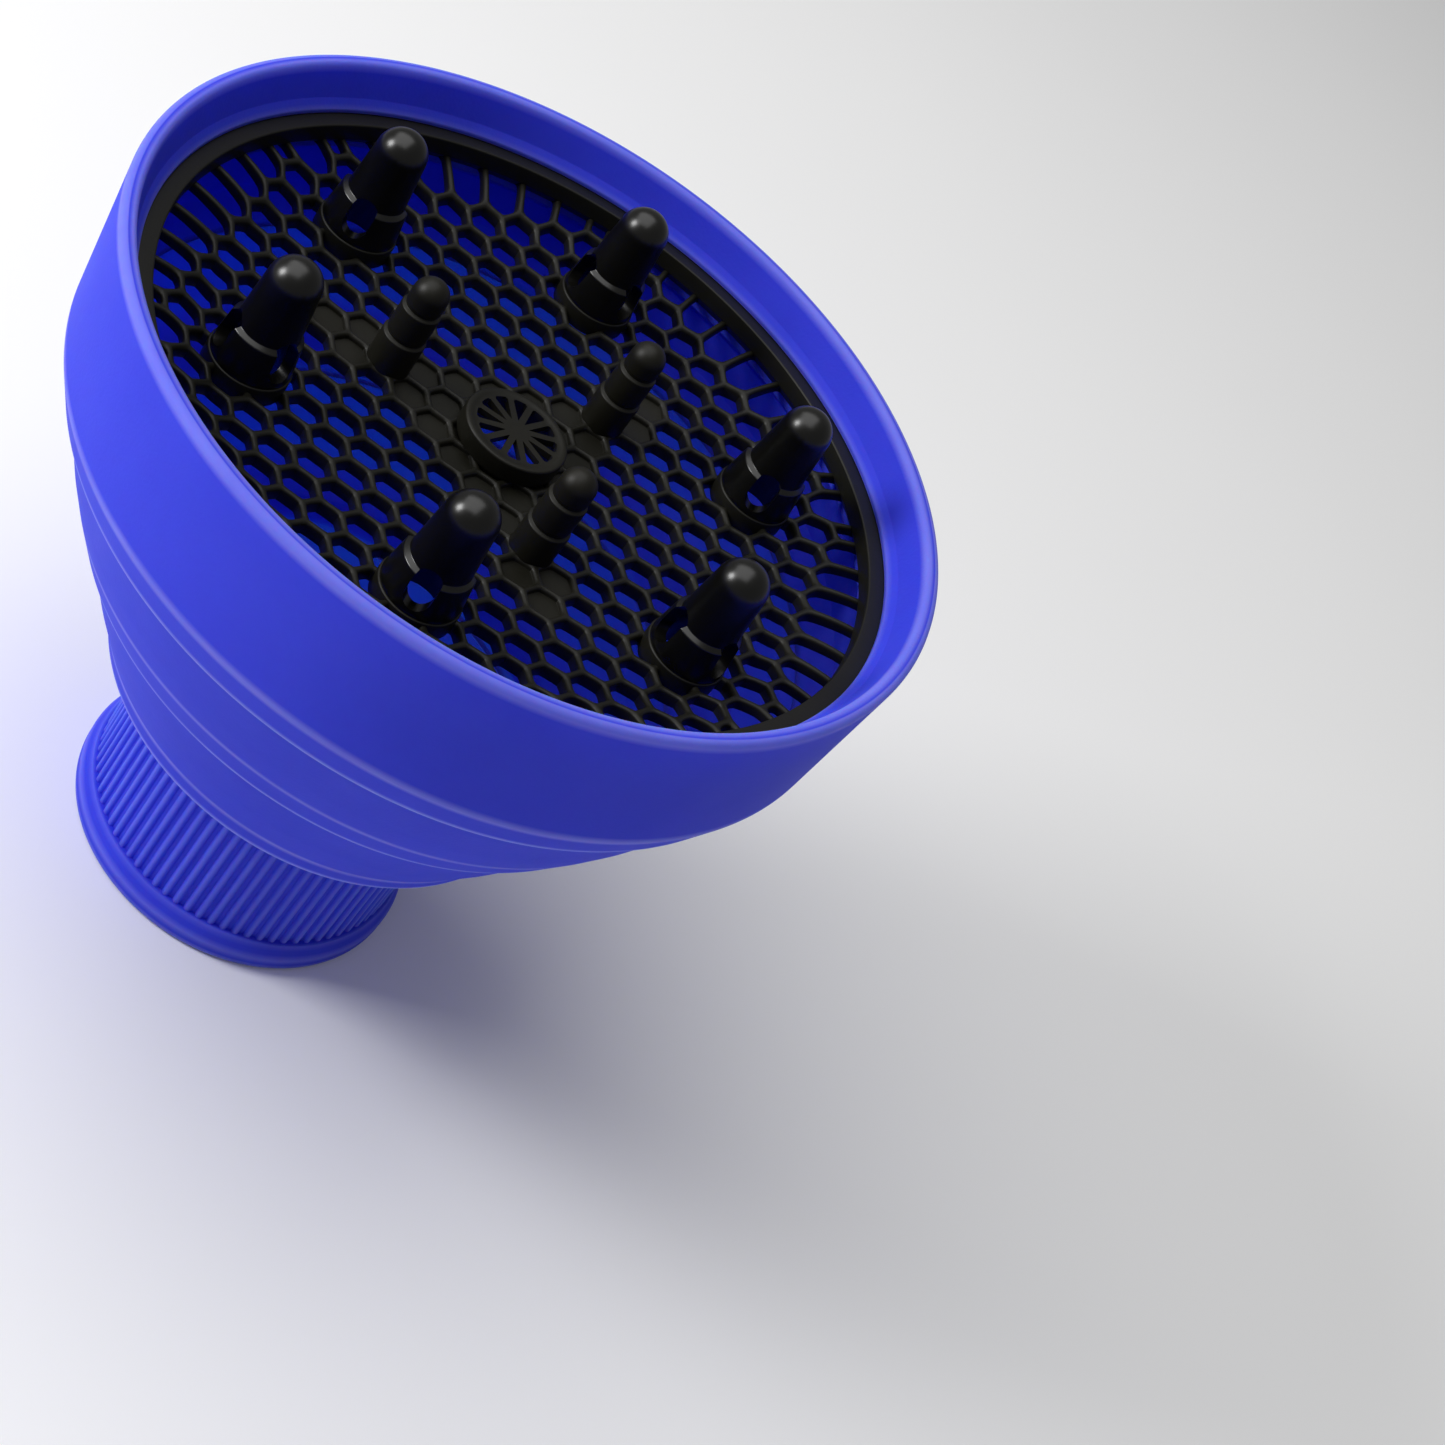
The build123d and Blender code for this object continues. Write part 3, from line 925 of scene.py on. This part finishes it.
def make_lattice():
    """Dished honeycomb slab as one closed mesh, with a rounded crown on every rib."""
    points, faces, sides = [], [], {}

    def ring_of(loop, depth):
        """Adds a loop at a depth below the ribs' top and gives its points' numbers."""
        first = len(points)
        for spot in loop:
            radius = spot.length
            if depth > LATTICE_THICKNESS / 2:
                height = rib_foot(radius) + LATTICE_THICKNESS - depth
            else:
                height = rib_top(radius) - depth
            points.append((spot.x, spot.y, height))
        return list(range(first, first + len(loop)))

    def join(upper, lower):
        """Adds the faces between two rings."""
        for n in range(len(upper)):
            following = (n + 1) % len(upper)
            faces.append((upper[n], upper[following], lower[following], lower[n]))

    cells = whole_cells()
    plans = [(*whole_cell(cell), is_blind(cell.x, cell.y)) for cell in cells]
    plans += [(*edge_cell(chain), False) for chain in edge_chains(cells)]

    for border, opening, blind in plans:
        top = ring_of(border, 0.0)
        bottom = ring_of(border, LATTICE_THICKNESS)
        for n in range(len(border)):
            following = (n + 1) % len(border)
            key = tuple(sorted((spot_key(border[n]), spot_key(border[following]))))
            side = (top[n], top[following], bottom[following], bottom[n])
            sides.setdefault(key, []).append(side)
        upper = top
        for share, depth in RIB_CROWN:
            lower = ring_of(between(border, opening, share), depth * MM)
            join(upper, lower)
            upper = lower
        if blind:
            lower = ring_of(between(border, opening, 1.0), BLIND_DEPTH - BLIND_ROUND)
            join(upper, lower)
            upper = ring_of(between(border, opening, BLIND_SHARE), BLIND_DEPTH)
            join(lower, upper)
            faces.append(tuple(upper))
            faces.append(tuple(reversed(bottom)))
            continue
        lower = ring_of(between(border, opening, 1.0), LATTICE_THICKNESS - FOOT_ROUND)
        join(upper, lower)
        under = ring_of(between(border, opening, FOOT_SHARE), LATTICE_THICKNESS)
        join(lower, under)
        join(under, bottom)
    for found in sides.values():
        if len(found) == 1:  # nothing joins on here, so this is the plate's outer wall
            faces.append(tuple(reversed(found[0])))
    lattice = new_piece("grille", points, faces)
    work = bmesh.new()
    work.from_mesh(lattice.data)
    bmesh.ops.remove_doubles(work, verts=work.verts, dist=WELD_DISTANCE)
    bmesh.ops.dissolve_degenerate(work, dist=SLIVER_LENGTH, edges=work.edges)
    bmesh.ops.recalc_face_normals(work, faces=work.faces)
    work.to_mesh(lattice.data)
    work.free()
    return lattice


def make_border_ring():
    """The insert's flat border, which the silicone groove grips, undercut towards its inside."""
    top = rim_height - SEAT_DEPTH
    foot = top - RING_DEPTH
    outline = [
        (plate_radius, top, 0.3 * MM, 0.0),
        (plate_radius, foot, 0.3 * MM, 0.0),
        (RING_INNER_RADIUS + RING_UNDERCUT_WIDTH, foot, 0.2 * MM, 0.0),
        (RING_INNER_RADIUS + 0.05 * MM, top - RING_UNDERCUT_DEPTH, 0.4 * MM, 0.0),
        (RING_INNER_RADIUS, top, 0.35 * MM, 0.0),
    ]
    return lathe("tool", rounded(outline, 4), RING_STEPS)


def make_grille(material):
    """Border ring, dished honeycomb and finger sockets in one piece."""
    plate = make_lattice()
    carve(plate, make_border_ring(), "UNION")
    below = rim_height - LATTICE_CENTRE_DEPTH - 2 * LATTICE_THICKNESS
    above = rim_height - SEAT_DEPTH
    for node in TALL_FINGERS:
        centre = middle_of(node)
        height = lattice_height(math.hypot(*centre))
        wall = [
            (SOCKET_BORE - SOCKET_OVERLAP, height - LATTICE_THICKNESS, 0.0, 0.0),
            (SOCKET_RADIUS, height - LATTICE_THICKNESS, 0.3 * MM, 0.0),
            (SOCKET_RADIUS, height + SOCKET_HEIGHT, 0.3 * MM, 0.0),
            (SOCKET_BORE - SOCKET_OVERLAP, height + SOCKET_HEIGHT, 0.0, 0.0),
        ]
        carve(plate, lathe("tool", rounded(wall, 4), SOCKET_STEPS, centre), "UNION")
        carve(plate, post(SOCKET_BORE, below, above, centre, SOCKET_STEPS))
    carve(plate, post(cap_spigot_radius() + CLEARANCE, below, above, steps=CAP_HOLE_STEPS))
    for node in SHORT_FINGERS:
        centre = middle_of(node)
        seat = lattice_height(math.hypot(*centre)) - BLIND_DEPTH
        carve(plate, post(short_finger_radius(node) + CLEARANCE, seat, above, centre))
    polish(plate, material)
    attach(plate, "skirt")
    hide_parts("grille_plate")


def cap_spigot_radius():
    """Radius of the cap's plug, under its overhanging edge."""
    return cap_high.x - CAP_OVERHANG


def short_finger_radius(node):
    """Radius of a short finger's foot."""
    low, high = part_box(node)
    return (high.x - low.x) / 2


CAP_STEPS = 144
CAP_HOLE_STEPS = 120
CAP_HUB_RADIUS = 1.9 * MM
CAP_SLOT_RADIUS = 8.0 * MM
CAP_SLOTS = 12
CAP_SPOKE = 1.3 * MM
CAP_TOP = 1.4 * MM
CAP_BORE = 8.2 * MM
CAP_OVERHANG = 0.8 * MM
CAP_FACE_SINK = 0.12 * MM
SLOT_ROUND = 0.4 * MM
SLOT_ARC_STEPS = 8


def slot_cutter(angle):
    """Wedge between two spokes of the cap, with rounded corners."""
    half = math.pi / CAP_SLOTS
    near = CAP_SPOKE / 2 / math.sin(half) + 0.15 * MM
    inner = max(CAP_HUB_RADIUS, near)
    inner_angle = half - math.asin(CAP_SPOKE / 2 / inner)
    outer_angle = half - math.asin(CAP_SPOKE / 2 / CAP_SLOT_RADIUS)
    loop = [(inner, -inner_angle), (inner, inner_angle)]
    loop.append((CAP_SLOT_RADIUS - SLOT_ROUND, outer_angle))
    for k in range(SLOT_ARC_STEPS + 1):
        share = 1 - 2 * k / SLOT_ARC_STEPS
        loop.append((CAP_SLOT_RADIUS, (outer_angle - SLOT_ROUND / CAP_SLOT_RADIUS) * share))
    loop.append((CAP_SLOT_RADIUS - SLOT_ROUND, -outer_angle))
    flat = [(r * math.cos(angle + a), r * math.sin(angle + a)) for r, a in loop]
    bottom, top = cap_high.z - 3 * CAP_TOP, cap_high.z + CAP_TOP
    return prism([(x, y, bottom) for x, y in flat], [(x, y, top) for x, y in flat])


def make_cap(material):
    """Slotted round cap that plugs into the middle of the insert."""
    seat = lattice_height(cap_high.x) + CLEARANCE
    spigot = cap_spigot_radius()
    outline = rounded([
        (CAP_BORE, cap_high.z - CAP_TOP, 0.0, 0.0),
        (CAP_BORE, cap_low.z, 0.0, 0.0),
        (spigot, cap_low.z, 0.2 * MM, 0.0),
        (spigot, seat, 0.0, 0.0),
        (cap_high.x, seat, 0.15 * MM, 0.0),
        (cap_high.x, cap_high.z, 0.45 * MM, 0.0),
        (cap_high.x - 1.2 * MM, cap_high.z, 0.0, 0.0),
        (cap_high.x - 1.45 * MM, cap_high.z - CAP_FACE_SINK, 0.0, 0.0),
        (CAP_BORE - 1.0 * MM, cap_high.z - CAP_FACE_SINK, 0.0, 0.0),
    ], 4)
    outline = [(0.0, cap_high.z - CAP_TOP, 0.0), *outline, (0.0, cap_high.z - CAP_FACE_SINK, 0.0)]
    cap = lathe("vent_cap_cover", outline, CAP_STEPS)
    for k in range(CAP_SLOTS):
        carve(cap, slot_cutter(2 * math.pi * (k + 0.5) / CAP_SLOTS))
    polish(cap, material)
    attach(cap, "skirt")
    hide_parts("vent_cap")


FINGER_STEPS = 96
CAGE_HEIGHT = 7.6 * MM
CAGE_RADIUS = 6.6 * MM
CAGE_FOOT_HEIGHT = 0.5 * MM
SHAFT_RADIUS = 5.6 * MM
FINGER_WALL = 1.4 * MM
TALL_TIP_RADIUS = 4.9 * MM
WINDOW_WIDTH = 4.8 * MM
WINDOW_HEIGHT = 7.8 * MM
WINDOW_SILL = 1.2 * MM
WINDOWS = 3
WINDOW_ARC_STEPS = 14


def dome(radius, middle, steps=14):
    """Outline of a half ball, from its widest circle up to the axis."""
    angles = [math.pi / 2 * k / steps for k in range(steps + 1)]
    spots = [(radius * math.cos(a), middle + radius * math.sin(a), 0.0) for a in angles]
    spots[-1] = (0.0, middle + radius, 0.0)
    return spots


def window_cutter(bottom, angle, centre):
    """Bar with round ends that opens one side of a finger's cage."""
    half = WINDOW_WIDTH / 2
    arcs = ((0, bottom + WINDOW_HEIGHT - half), (1, bottom + half))
    flat = []
    for first_half_turn, middle in arcs:
        for k in range(WINDOW_ARC_STEPS + 1):
            turn = math.pi * (first_half_turn + k / WINDOW_ARC_STEPS)
            flat.append((half * math.cos(turn), middle + half * math.sin(turn)))

    def loop_at(reach):
        """The window's outline at a distance from the finger's axis."""
        return [
            (
                centre[0] + (reach * math.cos(angle) - side * math.sin(angle)),
                centre[1] + (reach * math.sin(angle) + side * math.cos(angle)),
                height,
            )
            for side, height in flat
        ]

    return prism(loop_at(0.0), loop_at(2 * SOCKET_RADIUS))


def make_tall_finger(node, material):
    """Hollow finger: foot, flared cage with three windows, tapered shaft and round tip."""
    low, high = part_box(node)
    centre = middle_of(node)
    collar = lattice_height(math.hypot(*centre)) + SOCKET_HEIGHT
    seat = collar + CLEARANCE
    shoulder = collar + CAGE_HEIGHT
    cage_foot = (high.x - low.x) / 2
    foot_radius = SOCKET_BORE - CLEARANCE
    tip = high.z - TALL_TIP_RADIUS
    # The last corner is left out because the dome brings it
    outside = rounded([
        (foot_radius - FINGER_WALL, low.z, 0.0, 0.0),
        (foot_radius, low.z, 0.2 * MM, 0.0),
        (foot_radius, seat, 0.0, 0.0),
        (cage_foot, seat, 0.1 * MM, 0.0),
        (cage_foot, seat + CAGE_FOOT_HEIGHT, 0.25 * MM, 0.0),
        (CAGE_RADIUS, shoulder - 0.6 * MM, 0.45 * MM, 0.0),
        (SHAFT_RADIUS + 0.1 * MM, shoulder, 0.25 * MM, 0.0),
        (TALL_TIP_RADIUS, tip, 0.0, 0.0),
    ], 5)[:-1]
    inner_tip = TALL_TIP_RADIUS - FINGER_WALL
    inside = [
        (foot_radius - FINGER_WALL, collar, 0.0),
        (SHAFT_RADIUS - FINGER_WALL, shoulder, 0.0),
        *dome(inner_tip, tip),
    ]
    outline = [*reversed(inside), *outside, *dome(TALL_TIP_RADIUS, tip)]
    finger = lathe(node.replace("finger", "prong"), outline, FINGER_STEPS, centre)
    facing = math.atan2(centre[1], centre[0])
    for k in range(WINDOWS):
        angle = facing + 2 * math.pi * k / WINDOWS
        carve(finger, window_cutter(collar + WINDOW_SILL, angle, centre))
    polish(finger, material)
    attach(finger, "skirt")
    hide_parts(node)


SHORT_MIDDLE_RADIUS = 3.8 * MM
SHORT_TIP_RADIUS = 3.4 * MM
SHORT_SPIGOT = 2.4 * MM
# Depths below the rim where a short finger narrows
SHORT_STEPS = (11.6 * MM, 5.0 * MM)
SHORT_GROOVE = 0.22 * MM


def make_short_finger(node, material):
    """Solid finger in three steps with a round tip."""
    low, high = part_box(node)
    centre = middle_of(node)
    foot_radius = short_finger_radius(node)
    seat = lattice_height(math.hypot(*centre)) - BLIND_DEPTH
    lower, upper = (rim_height - depth for depth in SHORT_STEPS)
    tip = high.z - SHORT_TIP_RADIUS
    middle_groove = SHORT_MIDDLE_RADIUS - SHORT_GROOVE
    tip_groove = SHORT_TIP_RADIUS - SHORT_GROOVE
    # The last three corners are left out: the dome and the axis bring them
    side = rounded([
        (SHORT_SPIGOT, low.z, 0.2 * MM, 0.0),
        (SHORT_SPIGOT, seat, 0.0, 0.0),
        (foot_radius, seat, 0.15 * MM, 0.0),
        (foot_radius, lower - 0.3 * MM, 0.3 * MM, 0.0),
        (middle_groove, lower, 0.12 * MM, 0.0),
        (middle_groove, lower + 0.35 * MM, 0.12 * MM, 0.0),
        (SHORT_MIDDLE_RADIUS, lower + 0.6 * MM, 0.2 * MM, 0.0),
        (SHORT_MIDDLE_RADIUS, upper - 0.3 * MM, 0.3 * MM, 0.0),
        (tip_groove, upper, 0.12 * MM, 0.0),
        (tip_groove, upper + 0.35 * MM, 0.12 * MM, 0.0),
        (SHORT_TIP_RADIUS, upper + 0.6 * MM, 0.2 * MM, 0.0),
        (SHORT_TIP_RADIUS, tip, 0.0, 0.0),
        (0.0, tip, 0.0, 0.0),
        (0.0, low.z, 0.0, 0.0),
    ], 4)[:-3]
    outline = [(0.0, low.z, 0.0), *side, *dome(SHORT_TIP_RADIUS, tip)]
    finger = lathe(node.replace("finger", "prong"), outline, FINGER_STEPS, centre)
    polish(finger, material)
    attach(finger, "skirt")
    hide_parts(node)


# ---------------------------------------------------------------- scene

camera = make_camera()
make_stage(camera)

silicone = silicone_material()
satin_plastic = plastic_material("black_plastic", 0.0)
glossy_plastic = plastic_material("polished_black_plastic", 1.0)

outer_fold_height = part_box("outer_fold_web")[0].z
middle_fold_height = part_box("middle_fold_web")[0].z

# Each band ends where the web below it starts
outer_start = make_skirt(silicone)
middle_start = make_fold(
    "outer_fold", ["outer_fold_web", "outer_tier_ring"],
    outer_line, outer_start, outer_fold_height,
    middle_line, middle_crest_height, middle_edge, silicone,
)
inner_start = make_fold(
    "middle_fold", ["middle_fold_web", "inner_tier_ring"],
    middle_line, middle_start, middle_fold_height,
    inner_line, inner_crest_height, inner_edge, silicone,
)
make_inner_fold(inner_start, silicone)
make_neck(silicone)

make_grille(satin_plastic)
make_cap(satin_plastic)
for finger_node in TALL_FINGERS:
    make_tall_finger(finger_node, glossy_plastic)
for finger_node in SHORT_FINGERS:
    make_short_finger(finger_node, satin_plastic)
